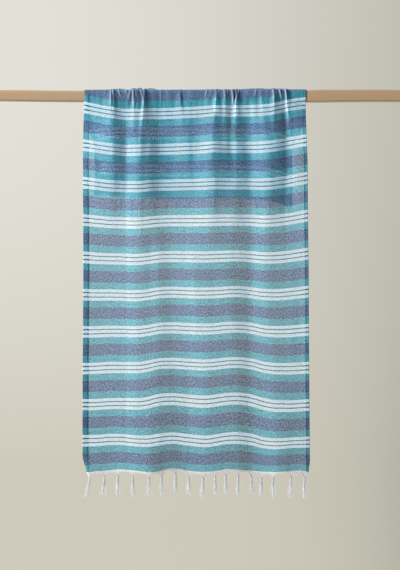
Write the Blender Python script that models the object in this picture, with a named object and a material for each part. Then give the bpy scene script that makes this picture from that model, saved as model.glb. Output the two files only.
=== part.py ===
"""A striped hammam towel hung over a plain wooden rod.

The towel is one woven cloth. Its long end hangs in front of the rod, its short end behind it, and
the warp at both ends is knotted into tassels. X runs along the rod, +Z is up and the front faces -Y.
The origin is the middle of the rod's left end, where a holder takes it. Sizes are in millimetres and
are turned into metres as each mesh is made.
"""

from collections import namedtuple

import bpy
import numpy as np

MM = 0.001

# The rod: a squared wooden bar with well rounded edges.
ROD_LENGTH = 1600.0
ROD_DEPTH = 36.0
ROD_EDGE_RADIUS = 9.0
ROD_EDGE_STEPS = 5
ROD_END_CHAMFER = 1.5

# The towel.
TOWEL_LEFT = 377.0        # from the rod's left end to the towel's left edge
TOWEL_WIDTH = 812.0       # as it is gathered on the rod
FRONT_HEM = 1375.6        # level of the front hem, below the middle of the rod's left end
BACK_HEM = 372.0          # level of the back hem
CLOTH_THICKNESS = 2.0
SIDE_HEM_WIDTH = 20.0
SIDE_HEM_THICKNESS = 3.0
ROD_CLEARANCE = 3.9       # from the rod's surface to the middle of the cloth

# The fringe: a narrow heading below each hem, and the tassels that hang from it.
HEADING_GAP = 0.4
HEADING_HEIGHT = 5.0
TASSEL_ROOT_WIDTH = 11.0

# How the rod's top and bottom edges run, from the rod's left end.
RodSection = namedtuple("RodSection", "along top bottom")
ROD_SECTIONS = (
    RodSection(0, 19.1, -19.1),
    RodSection(120, 19.0, -20.4),
    RodSection(190, 18.3, -21.5),
    RodSection(250, 17.3, -22.3),
    RodSection(340, 16.7, -22.9),
    RodSection(800, 17.2, -23.2),
    RodSection(1180, 18.5, -24.0),
    RodSection(1240, 20.0, -24.4),
    RodSection(1310, 19.9, -23.2),
    RodSection(1410, 20.4, -22.4),
    RodSection(1600, 20.0, -22.6),
)

# One row for each fold line down the front, from the left edge to the right one. `across` is its
# place on the rod. The next six say how far the cloth stands out there, from just under the rod to
# the hem. `front_fall` and `back_fall` say how much lower than level the two hems hang there.
Fold = namedtuple("Fold", "across rod upper quarter half lower hem front_fall back_fall")
FOLD_LEVELS = (50.0, 240.0, 404.0, 680.0, 1060.0, 1412.0)
FOLDS = (
    Fold(0, 0, 0, 4, 10, 10, 8, 8, -11),
    Fold(47, 3, 13, 10, 9, 9, 8, 2, -10),
    Fold(94, 6, 26, 16, 9, 8, 8, -2, -8),
    Fold(128, 3, 22, 13, 10, 10, 12, -5, -6),
    Fold(155, 1, 12, 13, 12, 12, 18, -5, -4),
    Fold(195, 5, 35, 33, 23, 23, 30, -3, -1),
    Fold(225, 6, 31, 31, 23, 25, 35, 0, 0),
    Fold(245, 4, 24, 26, 21, 25, 36, 1, 0),
    Fold(268, 1, 11, 18, 20, 23, 32, -1, 1),
    Fold(320, 0, 3, 7, 12, 12, 18, -10, 1),
    Fold(354, 1, 10, 9, 14, 9, 11, -4, 0),
    Fold(404, 2, 13, 16, 27, 14, 13, 1, -1),
    Fold(432, 3, 24, 26, 28, 20, 17, 2, -2),
    Fold(466, 5, 37, 35, 27, 22, 18, 0, -2),
    Fold(500, 4, 31, 29, 27, 21, 17, -5, -2),
    Fold(537, 3, 18, 22, 23, 18, 14, -6, -1),
    Fold(577, 2, 9, 10, 9, 9, 7, -3, 0),
    Fold(606, 1, 0, 2, 3, 1, 0, 0, 2),
    Fold(635, 2, 13, 10, 9, 4, 1, 3, 5),
    Fold(657, 4, 24, 18, 14, 8, 5, 4, 7),
    Fold(697, 4, 21, 14, 11, 11, 14, 3, 14),
    Fold(734, 1, 1, 3, 6, 8, 12, 1, 23),
    Fold(777, 2, 10, 8, 5, 5, 8, -1, 32),
    Fold(812, 0, 17, 14, 8, 6, 7, 5, 36),
)

# One row for each fold line down the back: how far it stands out under the rod and at the hem.
BackFold = namedtuple("BackFold", "across rod hem")
BACK_FOLD_LEVELS = (50.0, 400.0)
BACK_FOLDS = (
    BackFold(0, 0, 4),
    BackFold(94, 6, 12),
    BackFold(138, 2, 4),
    BackFold(200, 8, 18),
    BackFold(269, 1, 2),
    BackFold(345, 4, 12),
    BackFold(412, 1, 4),
    BackFold(474, 5, 15),
    BackFold(550, 5, 12),
    BackFold(605, 1, 2),
    BackFold(682, 7, 14),
    BackFold(744, 3, 4),
    BackFold(812, 0, 6),
)

# One row for each pleat pinched up where the cloth crosses the rod: its crest on the rod, how wide
# its left and right flanks are, how high it stands, how far down the front it runs out, and how far
# its lower end leans to the right.
Pleat = namedtuple("Pleat", "across left right height down lean")
PLEATS = (
    Pleat(93, 30, 6, 8, 260, 0),
    Pleat(105, 6, 9, 7, 55, 2),
    Pleat(177, 8, 7, 8, 120, -2),
    Pleat(209, 7, 10, 10, 120, -9),
    Pleat(344, 12, 7, 5, 170, 4),
    Pleat(476, 10, 9, 5, 150, -8),
    Pleat(541, 8, 5, 9, 105, 1),
    Pleat(555, 5, 9, 9, 70, -4),
    Pleat(691, 14, 6, 7, 120, -15),
    Pleat(718, 6, 8, 6, 55, 2),
    Pleat(736, 5, 15, 9, 140, 15),
)
PLEAT_OVER = 70.0         # how far the pleats run down the back
PLEAT_ON_TOP = 0.6        # their height on top of the rod, as a share of that on its front

# How far the side edges swing out from straight, at distances down the front.
Edge = namedtuple("Edge", "down left right")
EDGES = (
    Edge(75, 0, 0),
    Edge(240, 4, 2),
    Edge(430, 4, 6),
    Edge(1300, 4, 11),
    Edge(1412, 4, 13),
)

# The front hem's lower corners turn back: how wide and how high the turned part is, and its angle.
# The headings of the fringes end where the turned parts begin.
Corner = namedtuple("Corner", "width rise turn")
LEFT_CORNER = Corner(20.0, 75.0, 1.2)
RIGHT_CORNER = Corner(12.0, 55.0, 0.9)

# Cross rows of the cloth's solid, as distances down the front and down the back from the top of
# the rod. The last of each is its hem.
FRONT_ROWS = (
    40, 55, 75, 100, 130, 170, 215, 270, 335, 410, 500, 600, 710, 830, 950, 1070, 1180, 1280, 1360
)
BACK_ROWS = (40, 60, 90, 140, 210, 300)
BEND_STEPS = 3            # rows round each edge of the rod

# One row for each tassel of the front fringe: its root on the hem, how far its tip swings to the
# right, and how far down its tip hangs. The back fringe repeats them from the other side.
Tassel = namedtuple("Tassel", "across swing length")
TASSELS = (
    Tassel(26, -16, 82),
    Tassel(80, -9, 86),
    Tassel(127, -2, 88),
    Tassel(181, 2, 88),
    Tassel(240, 0, 84),
    Tassel(283, -2, 80),
    Tassel(333, -2, 80),
    Tassel(380, -2, 78),
    Tassel(431, -3, 84),
    Tassel(474, 1, 77),
    Tassel(511, 1, 80),
    Tassel(556, -1, 83),
    Tassel(604, 1, 80),
    Tassel(639, -1, 80),
    Tassel(680, 5, 86),
    Tassel(745, -5, 91),
    Tassel(794, -1, 90),
)

# The width and depth of a tassel at distances below its root, down to the foot of its knot.
Waist = namedtuple("Waist", "below width depth")
TASSEL_NECK = (
    Waist(6, 6.0, 4.0),
    Waist(14, 4.5, 4.5),
    Waist(19, 8.5, 8.0),
    Waist(25, 5.5, 5.5),
)
LOCK_MIDDLE = Waist(0.5, 4.2, 5.0)   # one of the two locks, halfway and at its tip
LOCK_TIP = Waist(1.0, 5.0, 4.5)
LOCK_PARTING = 1.6                   # between the two locks, at their tips
LOCK_STAGGER = 2.0                   # how much longer or shorter than the tassel each lock is

OAK = (0.48, 0.30, 0.16, 1.0)
TEAL = (0.12, 0.36, 0.42, 1.0)
WHITE = (0.72, 0.76, 0.78, 1.0)


def clear_scene():
    for item in list(bpy.data.objects):
        bpy.data.objects.remove(item, do_unlink=True)


def make_material(name, colour, roughness):
    material = bpy.data.materials.new(name)
    material.use_nodes = True
    shader = material.node_tree.nodes["Principled BSDF"]
    shader.inputs["Base Color"].default_value = colour
    shader.inputs["Roughness"].default_value = roughness
    shader.inputs["Metallic"].default_value = 0.0
    material.diffuse_color = colour
    return material


def make_object(name, points, faces, material):
    mesh = bpy.data.meshes.new(name)
    mesh.from_pydata([tuple(float(value) * MM for value in point) for point in points], [], faces)
    mesh.validate()
    mesh.shade_smooth()
    mesh.set_sharp_from_angle(angle=0.7)
    mesh.materials.append(material)
    item = bpy.data.objects.new(name, mesh)
    bpy.context.collection.objects.link(item)
    return item


def column(rows, name):
    return np.array([getattr(row, name) for row in rows], dtype=float)


def ease(t):
    """A smooth step from 0 to 1."""
    t = np.clip(t, 0.0, 1.0)
    return t * t * (3.0 - 2.0 * t)


def smooth_curve(x, knots, values):
    """A cubic curve through values at knots, level beyond both ends. Values may have columns."""
    slopes = np.gradient(values, knots, axis=0)
    span = np.clip(np.searchsorted(knots, x) - 1, 0, len(knots) - 2)
    width = knots[span + 1] - knots[span]
    t = np.clip((x - knots[span]) / width, 0.0, 1.0)
    if values.ndim > 1:
        t = t[:, None]
        width = width[:, None]
    start = (2 * t**3 - 3 * t**2 + 1) * values[span] + (t**3 - 2 * t**2 + t) * width * slopes[span]
    end = (3 * t**2 - 2 * t**3) * values[span + 1] + (t**3 - t**2) * width * slopes[span + 1]
    return start + end


def rod_edge(x, name):
    return np.interp(x, column(ROD_SECTIONS, "along"), column(ROD_SECTIONS, name))


# --- The rod -------------------------------------------------------------------------------------


def rod_ring(x, inset):
    """The rod's rounded outline at x, drawn in by inset."""
    top = float(rod_edge(x, "top")) - inset
    bottom = float(rod_edge(x, "bottom")) + inset
    half = ROD_DEPTH / 2 - inset
    radius = ROD_EDGE_RADIUS - inset
    corners = (
        (half - radius, top - radius, 0.0),
        (-half + radius, top - radius, 90.0),
        (-half + radius, bottom + radius, 180.0),
        (half - radius, bottom + radius, 270.0),
    )
    ring = []
    for y, z, first in corners:
        for step in range(ROD_EDGE_STEPS + 1):
            angle = np.radians(first + 90.0 * step / ROD_EDGE_STEPS)
            ring.append((x, y + radius * np.cos(angle), z + radius * np.sin(angle)))
    return ring


def make_rod(material):
    stations = [(row.along, 0.0) for row in ROD_SECTIONS]
    stations[0] = (ROD_END_CHAMFER, 0.0)
    stations[-1] = (ROD_LENGTH - ROD_END_CHAMFER, 0.0)
    stations = [(0.0, ROD_END_CHAMFER)] + stations + [(ROD_LENGTH, ROD_END_CHAMFER)]
    points = []
    for x, inset in stations:
        points.extend(rod_ring(x, inset))
    around = 4 * (ROD_EDGE_STEPS + 1)
    faces = [tuple(reversed(range(around)))]
    for ring in range(len(stations) - 1):
        for side in range(around):
            here = ring * around + side
            along = ring * around + (side + 1) % around
            faces.append((here, along, along + around, here + around))
    last = (len(stations) - 1) * around
    faces.append(tuple(range(last, last + around)))
    return make_object("rod", points, faces, material)


# --- The cloth's surface -------------------------------------------------------------------------


def side_edges(down):
    """The towel's left and right edges, at distances down the front."""
    left = TOWEL_LEFT - np.interp(down, column(EDGES, "down"), column(EDGES, "left"))
    right = TOWEL_LEFT + TOWEL_WIDTH + np.interp(down, column(EDGES, "down"), column(EDGES, "right"))
    return left, right


def front_relief(across, down):
    """How far the front stands out at each column (across) and point of the grid (down)."""
    levels = np.array(FOLD_LEVELS)
    names = ("rod", "upper", "quarter", "half", "lower", "hem")
    table = np.array([smooth_curve(across, column(FOLDS, "across"), column(FOLDS, n)) for n in names])
    relief = np.empty_like(down)
    for index in range(len(across)):
        relief[:, index] = smooth_curve(down[:, index], levels, table[:, index])
    return relief * ease(down / FOLD_LEVELS[0])


def back_relief(across, down):
    places = column(BACK_FOLDS, "across")
    rod = smooth_curve(across, places, column(BACK_FOLDS, "rod"))[None, :]
    hem = smooth_curve(across, places, column(BACK_FOLDS, "hem"))[None, :]
    share = ease((-down - BACK_FOLD_LEVELS[0]) / (BACK_FOLD_LEVELS[1] - BACK_FOLD_LEVELS[0]))
    return (rod + (hem - rod) * share) * ease(-down / BACK_FOLD_LEVELS[0])


def pleat_relief(across, down):
    """The pleats' height over the grid. Where two pleats meet, the higher one shows."""
    height = np.zeros_like(down)
    for pleat in PLEATS:
        crest = pleat.across + pleat.lean * np.clip(down / pleat.down, 0.0, 1.0)
        offset = across[None, :] - crest
        flank = np.where(offset < 0, pleat.left, pleat.right)
        shape = np.clip(1.0 - (offset / flank) ** 2, 0.0, 1.0) ** 2
        front_fade = 1.0 - ease(down / pleat.down)
        back_fade = 1.0 - ease(-down / PLEAT_OVER)
        on_top = PLEAT_ON_TOP + (1.0 - PLEAT_ON_TOP) * ease(np.abs(down) / 30.0)
        height = np.maximum(height, pleat.height * shape * on_top * np.minimum(front_fade, back_fade))
    return height


def wrap_rod(down, x):
    """The path over the rod: Y, Z and the outward direction at a distance down from its top."""
    radius = ROD_EDGE_RADIUS + ROD_CLEARANCE
    flat = ROD_DEPTH / 2 - ROD_EDGE_RADIUS
    bend = radius * np.pi / 2
    centre_height = rod_edge(x, "top") - ROD_EDGE_RADIUS
    reach = np.abs(down)
    side = np.where(down > 0, -1.0, 1.0)
    angle = np.clip((reach - flat) / radius, 0.0, np.pi / 2)
    y = side * (np.minimum(reach, flat) + radius * np.sin(angle))
    z = centre_height + radius * np.cos(angle) - np.maximum(reach - flat - bend, 0.0)
    return y, z, side * np.sin(angle), np.cos(angle)


def drop_to_distance(level, x):
    """The distance down from the top of the rod to a level below the origin, on a straight drop."""
    flat = ROD_DEPTH / 2 - ROD_EDGE_RADIUS
    bend = (ROD_EDGE_RADIUS + ROD_CLEARANCE) * np.pi / 2
    return flat + bend + rod_edge(x, "top") - ROD_EDGE_RADIUS + level


def turn_corners(across, down, points):
    """Turns the front hem's lower corners back, each about an upright line."""
    hem = down[-1][None, :]
    for corner, inward, line in (
        (LEFT_CORNER, 1.0, LEFT_CORNER.width),
        (RIGHT_CORNER, -1.0, TOWEL_WIDTH - RIGHT_CORNER.width),
    ):
        outside = np.maximum(inward * (line - across), 0.0)[None, :]
        turn = corner.turn * ease(1.0 - (hem - down) / corner.rise)
        points[..., 0] += inward * outside * (1.0 - np.cos(turn))
        points[..., 1] += outside * np.sin(turn)


def cloth_surface(across, down):
    """The middle of the cloth, over a grid whose rows run across and whose columns run down."""
    left, right = side_edges(np.maximum(down, 0.0))
    x = left + across[None, :] / TOWEL_WIDTH * (right - left)
    y, z, out_y, out_z = wrap_rod(down, x)
    front = front_relief(across, np.maximum(down, 0.0))
    back = back_relief(across, np.minimum(down, 0.0))
    relief = front + back + pleat_relief(across, down)
    points = np.stack([x, y + out_y * relief, z + out_z * relief], axis=-1)
    turn_corners(across, down, points)
    return points


def hem_distances(across):
    """How far down the back hem and the front hem lie at each column."""
    places = column(FOLDS, "across")
    x = TOWEL_LEFT + across
    back = drop_to_distance(BACK_HEM + smooth_curve(across, places, column(FOLDS, "back_fall")), x)
    front = drop_to_distance(FRONT_HEM + smooth_curve(across, places, column(FOLDS, "front_fall")), x)
    return back, front


def surface_normals(points):
    across = np.gradient(points, axis=1)
    down = np.gradient(points, axis=0)
    normals = np.cross(down, across)
    return normals / np.linalg.norm(normals, axis=-1, keepdims=True)


# --- The cloth's solid ---------------------------------------------------------------------------


def cloth_columns():
    """The columns: every fold line, the foot and crest of every pleat, and the hems' inner lines."""
    wanted = list(column(FOLDS, "across"))
    wanted += [SIDE_HEM_WIDTH / 2, SIDE_HEM_WIDTH, TOWEL_WIDTH - SIDE_HEM_WIDTH]
    wanted += [TOWEL_WIDTH - SIDE_HEM_WIDTH / 2]
    crests = list(column(PLEATS, "across"))
    feet = []
    for pleat in PLEATS:
        feet += [pleat.across - pleat.left, pleat.across + pleat.right]
    columns = [0.0, TOWEL_WIDTH]
    for group, spacing in ((crests, 4.0), (feet, 3.5), (wanted, 6.0)):
        for place in group:
            if min(abs(place - other) for other in columns) >= spacing:
                columns.append(float(place))
    return np.array(sorted(columns))


def cloth_rows(across):
    """The grid of distances down from the top of the rod, from the back hem to the front hem."""
    back_hem, front_hem = hem_distances(across)
    flat = ROD_DEPTH / 2 - ROD_EDGE_RADIUS
    bend = (ROD_EDGE_RADIUS + ROD_CLEARANCE) * np.pi / 2
    over = [flat + bend * step / BEND_STEPS for step in range(BEND_STEPS + 1)]
    back = [-row for row in reversed(over + list(BACK_ROWS))]
    rows = back + [0.0] + over + list(FRONT_ROWS)
    grid = np.repeat(np.array(rows)[:, None], len(across), axis=1)
    return np.vstack([-back_hem[None, :], grid, front_hem[None, :]])


def half_thickness(across):
    in_hem = np.minimum(across, TOWEL_WIDTH - across) < SIDE_HEM_WIDTH - 1.0
    return np.where(in_hem, SIDE_HEM_THICKNESS, CLOTH_THICKNESS) / 2


def closed_sheet(outer, inner):
    """Points and faces of the closed solid between two grids of the same size."""
    rows, columns = outer.shape[:2]
    count = rows * columns
    points = np.vstack([outer.reshape(-1, 3), inner.reshape(-1, 3)])
    faces = []
    for row in range(rows - 1):
        for place in range(columns - 1):
            a = row * columns + place
            b = a + 1
            c = b + columns
            d = a + columns
            faces.append((a, d, c, b))
            faces.append((count + a, count + b, count + c, count + d))
    rim = [place for place in range(columns)]
    rim += [row * columns + columns - 1 for row in range(1, rows)]
    rim += [(rows - 1) * columns + place for place in range(columns - 2, -1, -1)]
    rim += [row * columns for row in range(rows - 2, 0, -1)]
    for start, end in zip(rim, rim[1:] + rim[:1]):
        faces.append((start, end, count + end, count + start))
    return points, faces


def make_cloth(across, middle, material):
    offset = surface_normals(middle) * half_thickness(across)[None, :, None]
    points, faces = closed_sheet(middle + offset, middle - offset)
    return make_object("cloth", points, faces, material)


# --- The fringes ---------------------------------------------------------------------------------


def heading_columns(across, tassels):
    """Where a heading is cut across: both sides of each root, and the cloth's own columns."""
    half = TASSEL_ROOT_WIDTH / 2
    first = LEFT_CORNER.width
    last = TOWEL_WIDTH - RIGHT_CORNER.width
    places = [first, last]
    for tassel in tassels:
        places += [tassel.across - half, tassel.across + half]
    for place in across:
        inside = first < place < last
        if inside and min(abs(place - other) for other in places) > 0.5:
            places.append(float(place))
    return np.array(sorted(places))


def along_hem(across, places, rows):
    """Reads rows of vectors, given at the cloth's columns, at other places on the same hem."""
    axes = [np.interp(places, across, rows[:, axis]) for axis in range(3)]
    return np.stack(axes, axis=-1)


def add_ring(points, centre, width, depth):
    """Four points of a level ring: front left, front right, back right, back left."""
    first = len(points)
    for side, rear in ((-1, -1), (1, -1), (1, 1), (-1, 1)):
        points.append(centre + np.array([side * width / 2, rear * depth / 2, 0.0]))
    return [first, first + 1, first + 2, first + 3]


def join_rings(faces, upper, lower):
    count = len(upper)
    for index in range(count):
        following = (index + 1) % count
        faces.append((upper[index], lower[index], lower[following], upper[following]))


def add_neck(points, faces, front_root, back_root, top, tassel):
    """The rings from below a tassel's root to the foot of its knot. The last two aren't joined."""
    rings = []
    for waist in TASSEL_NECK:
        share = waist.below / tassel.length
        centre = top + np.array([tassel.swing * share * share, 0.0, -float(waist.below)])
        rings.append(add_ring(points, centre, waist.width, waist.depth))
    first = rings[0]
    faces.append((first[0], first[1], *reversed(front_root)))
    faces.append((first[2], first[3], *reversed(back_root)))
    faces.append((front_root[-1], first[1], first[2], back_root[0]))
    faces.append((back_root[-1], first[3], first[0], front_root[0]))
    for upper, lower in zip(rings[:-2], rings[1:-1]):
        join_rings(faces, upper, lower)
    return rings[-2], rings[-1]


def add_tassel(points, faces, front_root, back_root, tassel):
    """One tassel: a neck gathered from its root, a knot, and two locks below the knot."""
    top = np.mean([points[index] for index in (*front_root, *back_root)], axis=0)
    waist_ring, foot = add_neck(points, faces, front_root, back_root, top, tassel)
    front_middle = len(points)
    points.append((points[foot[0]] + points[foot[1]]) / 2)
    back_middle = len(points)
    points.append((points[foot[2]] + points[foot[3]]) / 2)
    faces.append((waist_ring[0], foot[0], front_middle, foot[1], waist_ring[1]))
    faces.append((waist_ring[1], foot[1], foot[2], waist_ring[2]))
    faces.append((waist_ring[2], foot[2], back_middle, foot[3], waist_ring[3]))
    faces.append((waist_ring[3], foot[3], foot[0], waist_ring[0]))
    halves = (
        (-1, [foot[0], front_middle, back_middle, foot[3]]),
        (1, [front_middle, foot[1], foot[2], back_middle]),
    )
    knot_foot = TASSEL_NECK[-1].below
    for side, lock in halves:
        for waist in (LOCK_MIDDLE, LOCK_TIP):
            below = knot_foot + (tassel.length - knot_foot) * waist.below
            share = below / tassel.length
            apart = side * (waist.width / 2 + LOCK_PARTING / 2 * waist.below)
            longer = side * LOCK_STAGGER * waist.below
            centre = top + np.array([tassel.swing * share * share + apart, 0.0, -below - longer])
            lower = add_ring(points, centre, waist.width, waist.depth)
            join_rings(faces, lock, lower)
            lock = lower
        faces.append((lock[3], lock[2], lock[1], lock[0]))


def make_fringe(name, tassels, across, middle, front, material):
    """A narrow heading along a hem of the cloth, with its tassels."""
    hem = -1 if front else 0
    inner = -2 if front else 1
    away = middle[hem] - middle[inner]
    away /= np.linalg.norm(away, axis=-1, keepdims=True)
    places = heading_columns(across, tassels)
    edge = along_hem(across, places, middle[hem])
    away = along_hem(across, places, away)
    out = along_hem(across, places, surface_normals(middle)[hem]) * CLOTH_THICKNESS / 2
    # The back panel's outer side faces +Y, so there the heading's front is on the inner side.
    out = out if front else -out
    upper = edge + away * HEADING_GAP
    lower = edge + away * (HEADING_GAP + HEADING_HEIGHT)
    points = []
    for place in range(len(places)):
        points += [upper[place] + out[place], lower[place] + out[place]]
        points += [lower[place] - out[place], upper[place] - out[place]]
    roots = {tassel: [] for tassel in tassels}
    faces = [(0, 3, 2, 1)]
    for place in range(len(places) - 1):
        a = 4 * place
        b = a + 4
        faces.append((a, a + 1, b + 1, b))
        faces.append((a + 2, a + 3, b + 3, b + 2))
        faces.append((a + 3, a, b, b + 3))
        centre = (places[place] + places[place + 1]) / 2
        match = [row for row in tassels if abs(row.across - centre) < TASSEL_ROOT_WIDTH / 2]
        if match:
            roots[match[0]].append(place)
        else:
            faces.append((a + 1, a + 2, b + 2, b + 1))
    last = 4 * (len(places) - 1)
    faces.append((last, last + 1, last + 2, last + 3))
    for tassel, spans in roots.items():
        cuts = spans + [spans[-1] + 1]
        front_root = [4 * cut + 1 for cut in cuts]
        back_root = [4 * cut + 2 for cut in reversed(cuts)]
        add_tassel(points, faces, front_root, back_root, tassel)
    return make_object(name, points, faces, material)


def mirrored(tassels):
    return tuple(Tassel(TOWEL_WIDTH - row.across, -row.swing, row.length) for row in reversed(tassels))


def main():
    clear_scene()
    oak = make_material("oak", OAK, 0.5)
    cotton = make_material("striped_cotton", TEAL, 0.9)
    yarn = make_material("white_cotton_yarn", WHITE, 0.9)
    across = cloth_columns()
    middle = cloth_surface(across, cloth_rows(across))
    make_rod(oak)
    make_cloth(across, middle, cotton)
    make_fringe("front_fringe", TASSELS, across, middle, True, yarn)
    make_fringe("back_fringe", mirrored(TASSELS), across, middle, False, yarn)


main()
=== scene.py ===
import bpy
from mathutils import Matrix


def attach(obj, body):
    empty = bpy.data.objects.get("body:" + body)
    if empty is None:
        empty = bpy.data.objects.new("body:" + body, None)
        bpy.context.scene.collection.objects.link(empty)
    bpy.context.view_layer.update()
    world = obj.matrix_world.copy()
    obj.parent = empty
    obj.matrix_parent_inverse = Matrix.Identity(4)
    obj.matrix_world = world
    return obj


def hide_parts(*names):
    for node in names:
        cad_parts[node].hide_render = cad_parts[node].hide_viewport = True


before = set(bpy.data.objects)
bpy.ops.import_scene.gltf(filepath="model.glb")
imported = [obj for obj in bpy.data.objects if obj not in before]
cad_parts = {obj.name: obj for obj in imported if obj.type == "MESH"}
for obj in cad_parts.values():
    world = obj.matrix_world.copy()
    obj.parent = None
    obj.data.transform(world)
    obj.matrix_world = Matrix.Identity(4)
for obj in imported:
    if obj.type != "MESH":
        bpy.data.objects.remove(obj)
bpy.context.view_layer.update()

import math
from collections import namedtuple

import bpy
import numpy as np
from mathutils import Vector

MM = 0.001
rng = np.random.default_rng(7)


def table(columns, *rows, defaults=()):
    row_type = namedtuple("Row", columns, defaults=defaults)
    return [row_type(*row) for row in rows]


# --- Sizes shared with the solids, in millimetres ---

ROD_LENGTH = 1600.0
ROD_DEPTH = 36.0
ROD_RADIUS = 9.0
ROD_SHARP_TOP = 6.0  # radius of the upper edges beside the towel's right side
ROD_SHARP_BOTTOM = 4.0  # and of the lower edges
ROD_FLAT = ROD_DEPTH / 2 - ROD_RADIUS
TOWEL_LEFT = 377.0
TOWEL_WIDTH = 812.0
FRONT_HEM = 1375.6
BACK_HEM = 372.0
HEM_WIDTH = 22.0
RIGHT_HEM = 0.6  # the right hem's width, as a share of the left one's
HEM_TUCK = 8.0  # how far the hem's raw edge is turned in under itself
WRAP_RADIUS = ROD_RADIUS + 1.7  # of the cloth, which lies clear of the rod's edges
WRAP_BEND = WRAP_RADIUS * math.pi / 2  # and its way round one of them
BACK_DRAWN_IN = (34.0, 48.0)  # how far the back panel's sides hang in from the front's
BACK_SIDE = 160.0  # the width that takes this up
BACK_WAVE = 80.0  # and the width and height of its soft folds
BACK_WAVE_HEIGHT = 9.0
FLAT_WIDTH = 890.0
FLAT_LENGTH = 1812.0
REPEAT = 133.6  # one repeat of the stripes, up from the front hem
UV_MARGIN = HEM_WIDTH + HEM_TUCK + 0.6  # the turned part of a hem on the cloth's UV square
UV_WIDTH = TOWEL_WIDTH + 2 * UV_MARGIN
FLOOR_SIZE = 3000.0
TOWARD_WINDOW = (-0.853, -0.400, 0.369)  # from the towel

ROD_SECTIONS = table(
    "along top bottom",
    (0, 19.1, -19.1), (120, 19, -20.4), (190, 18.3, -21.5), (250, 17.3, -22.3),
    (340, 16.7, -22.9), (800, 17.2, -23.2), (1180, 18.5, -24), (1240, 20, -24.4),
    (1310, 19.9, -23.2), (1410, 20.4, -22.4), (1600, 20, -22.6),
)

# How far the cloth stands out at each fold line, by distance down from the top of the rod.
FOLD_LEVELS = (50, 240, 404, 680, 1060, 1412)
FOLDS = table(
    "across rod upper quarter half lower hem",
    (0, 0, 0, 4, 10, 10, 8), (47, 3, 13, 10, 9, 9, 8), (94, 6, 26, 16, 9, 8, 8),
    (110, 6, 28, 16, 9, 9, 9), (128, 3, 22, 13, 10, 10, 12), (145, 1, 14, 12, 11, 11, 16),
    (155, 1, 12, 13, 12, 12, 18), (175, 3, 24, 24, 18, 18, 24), (195, 5, 35, 33, 23, 23, 30),
    (207, 6, 36, 35, 24, 24, 32), (225, 6, 31, 31, 23, 25, 35), (245, 4, 24, 26, 21, 25, 36),
    (268, 1, 11, 18, 20, 23, 32), (300, 0, 4, 9, 15, 16, 22), (320, 0, 3, 7, 12, 12, 18),
    (354, 1, 10, 9, 14, 9, 11), (380, 2, 15, 12, 21, 9, 9), (404, 2, 13, 16, 27, 14, 13),
    (432, 3, 24, 26, 28, 20, 17), (452, 5, 34, 33, 28, 22, 18), (466, 5, 37, 35, 27, 22, 18),
    (500, 4, 31, 29, 27, 21, 17), (520, 4, 25, 25, 26, 20, 16), (537, 3, 18, 22, 23, 18, 14),
    (556, 4, 16, 18, 17, 15, 12), (577, 2, 9, 10, 9, 9, 7), (592, 1, 2, 5, 5, 4, 3),
    (606, 1, 0, 2, 3, 1, 0), (635, 2, 13, 10, 9, 4, 1), (657, 4, 24, 18, 14, 8, 5),
    (697, 4, 21, 14, 11, 11, 14), (716, 2, 12, 9, 9, 10, 14), (734, 1, 1, 3, 6, 8, 12),
    (748, 2, 2, 3, 5, 7, 10), (777, 2, 10, 8, 5, 5, 8), (812, 0, 17, 14, 8, 6, 7),
)

# The same for the back panel: near the rod, and from BACK_FOLD_REACH further down to its hem.
BACK_FOLD_REACH = 350.0
BACK_FOLDS = table(
    "across rod hem",
    (0, 0, 4), (94, 6, 12), (138, 2, 4), (200, 8, 18), (269, 1, 2), (345, 4, 12), (412, 1, 4),
    (474, 5, 15), (550, 5, 12), (605, 1, 2), (682, 7, 14), (744, 3, 4), (812, 0, 6),
)

# How much lower than level the cloth's weft hangs, at heights above the front hem on the flat
# cloth: at the hem, at five stripes, at the first stripe under the rod, and at the back hem.
FALL_HEIGHTS = (0, 133.6, 267.2, 400.8, 668, 935.2, 1336)
FALLS = table(
    "across hem tenth ninth eighth sixth fourth first back",
    (0, 9, 3, 6, 7, 3, -3, -15, -11), (47, 3, 3, 5, 6, 5, 2, -5, -10),
    (94, -1, -1, 2, 3, 5, 7, 5, -8), (138, -5, -1, 1, 3, 6, 8, 11, -5),
    (182, -3, 2, 1, 3, 8, 10, 13, -2), (207, -1, 3, 0, 2, 7, 10, 13, 0),
    (233, 2, 2, -4, -2, 4, 7, 11, 0), (269, 0, -3, -14, -10, -2, 3, 10, 1),
    (320, -9, -7, -17, -12, -5, 1, 8, 1), (372, -1, -1, -12, -9, -3, 1, 6, 0),
    (412, 3, 3, -9, -7, -2, 1, 4, -1), (445, 3, 4, -9, -7, -2, 1, 2, -2),
    (474, 0, 0, -12, -9, -3, 0, 0, -2), (518, -6, -7, -18, -14, -6, -1, 0, -2),
    (554, -4, -8, -19, -15, -7, -1, 0, -1), (605, 1, 0, -11, -9, -3, -1, -2, 2),
    (649, 5, 12, 2, 2, 3, 2, -3, 6), (682, 5, 15, 8, 6, 4, 1, -6, 11),
    (715, 3, 14, 9, 7, 3, -3, -14, 18), (744, 1, 12, 10, 7, 0, -7, -21, 25),
    (777, 0, 11, 8, 5, -4, -13, -27, 32), (812, 6, 9, 6, 3, -9, -19, -31, 36),
)

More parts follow.
